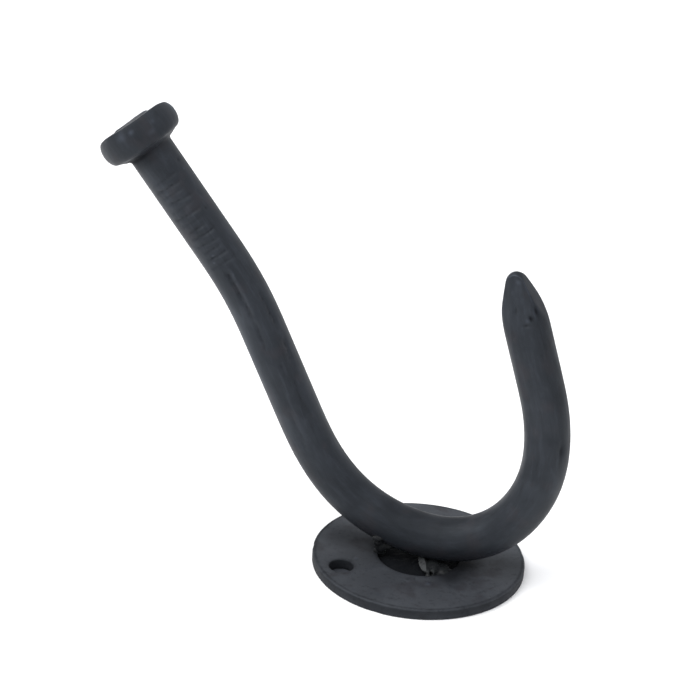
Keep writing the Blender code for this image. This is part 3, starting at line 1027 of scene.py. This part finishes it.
def make_floor():
    """A plain pale floor."""
    nodes = Nodes(bpy.data.materials.new("studio_floor"))
    nodes.shader.inputs["Base Color"].default_value = (0.95, 0.95, 0.95, 1.0)
    nodes.shader.inputs["Roughness"].default_value = 0.9
    nodes.shader.inputs["Specular IOR Level"].default_value = 0.1
    sheet = bmesh.new()
    bmesh.ops.create_grid(sheet, x_segments=4, y_segments=4, size=3.0)
    mesh = bpy.data.meshes.new("studio_floor")
    sheet.to_mesh(mesh)
    sheet.free()
    mesh.materials.append(nodes.owner)
    floor = bpy.data.objects.new("studio_floor", mesh)
    floor.location.z = -0.04 * MM
    bpy.context.scene.collection.objects.link(floor)


def make_shade_disc():
    """A small dark disc between plate and floor, painted shade that makes the screw holes look
    dark.
    """
    nodes = Nodes(bpy.data.materials.new("painted_shade_disc"))
    nodes.shader.inputs["Base Color"].default_value = (0.045, 0.048, 0.056, 1.0)
    nodes.shader.inputs["Specular IOR Level"].default_value = 0.0
    disc = bmesh.new()
    bmesh.ops.create_circle(disc, cap_ends=True, segments=96, radius=SHADE_DISC_RADIUS * MM)
    mesh = bpy.data.meshes.new("painted_shade_disc")
    disc.to_mesh(mesh)
    disc.free()
    mesh.materials.append(nodes.owner)
    shade_disc = bpy.data.objects.new("painted_shade_disc", mesh)
    shade_disc.location.z = -0.02 * MM
    bpy.context.scene.collection.objects.link(shade_disc)


def softbox(name, azimuth, elevation, power, aim):
    """A square area light that faces the object."""
    light = bpy.data.lights.new(name, "AREA")
    light.shape = "SQUARE"
    light.size = SOFTBOX_SIZE
    light.energy = power
    lamp = bpy.data.objects.new(name, light)
    back = view_direction(azimuth, elevation)
    lamp.location = aim + back * SOFTBOX_DISTANCE
    lamp.rotation_euler = back.to_track_quat("Z", "Y").to_euler()
    bpy.context.scene.collection.objects.link(lamp)


def view_direction(azimuth, elevation):
    """From the object towards a viewer at this azimuth and elevation."""
    around, above = math.radians(azimuth), math.radians(elevation)
    level = math.cos(above)
    return Vector((math.sin(around) * level, -math.cos(around) * level, math.sin(above)))


def make_camera(aim):
    """The camera, turned a little about its own axis."""
    back = view_direction(VIEW_AZIMUTH, VIEW_ELEVATION)
    around = math.radians(VIEW_AZIMUTH)
    level = Vector((math.cos(around), math.sin(around), 0.0))
    roll = math.radians(VIEW_ROLL)
    right = level * math.cos(roll) + back.cross(level) * math.sin(roll)
    up = back.cross(right)
    camera = bpy.data.objects.new("camera", bpy.data.cameras.new("camera"))
    camera.data.lens = LENS
    camera.data.sensor_width = SENSOR
    camera.data.clip_start = 0.01
    facing = Matrix((right, up, back)).transposed().to_4x4()
    camera.matrix_world = Matrix.Translation(aim + back * VIEW_DISTANCE * MM) @ facing
    bpy.context.scene.collection.objects.link(camera)
    bpy.context.scene.camera = camera


def make_surroundings():
    """A surround that looks white and glows a little stronger from some sides."""
    nodes = Nodes(bpy.data.worlds.new("studio"))
    direction = nodes.tree.nodes.new("ShaderNodeTexCoord").outputs["Generated"]
    split = nodes.tree.nodes.new("ShaderNodeSeparateXYZ")
    nodes.plug(split.inputs[0], direction)
    strength = nodes.tree.nodes.new("ShaderNodeLightPath").outputs["Is Camera Ray"]
    for axis, glow in SURROUND_GLOW:
        lobe = nodes.between(split.outputs[axis], -1.0, 1.0, 0.0, glow)
        strength = nodes.maths("ADD", strength, lobe)
    nodes.plug(nodes.shader.inputs["Strength"], strength)
    nodes.shader.inputs["Color"].default_value = (0.96, 0.97, 1.0, 1.0)
    bpy.context.scene.world = nodes.owner


def make_studio():
    """Floor, lights, surroundings and camera."""
    middle = (cad_low + cad_high) / 2.0
    make_floor()
    make_shade_disc()
    make_surroundings()
    for name, azimuth, elevation, power in SOFTBOXES:
        softbox(name, azimuth, elevation, power, middle)
    bpy.context.scene.view_settings.view_transform = "Standard"
    make_camera(middle + Vector(VIEW_SHIFT) * MM)


nail_steel = oxide_steel("nail_steel_oxide", (1.0, 1.0, 0.35), 1.0, NAIL_TINT)
plate_steel = oxide_steel("plate_steel_oxide", (1.0, 1.0, 1.0), 2.45, PLATE_TINT)
weld = weld_metal("weld_metal_bare_sooty_and_shaded")
make_nail(nail_steel)
make_plate(plate_steel)
make_plug(weld)
for number, (bead_node, (bead_drops, bead_cuts, bead_heading)) in enumerate(BEADS.items()):
    make_bead(bead_node, bead_drops, bead_cuts, bead_heading, 40 + 5 * number, weld)
make_studio()
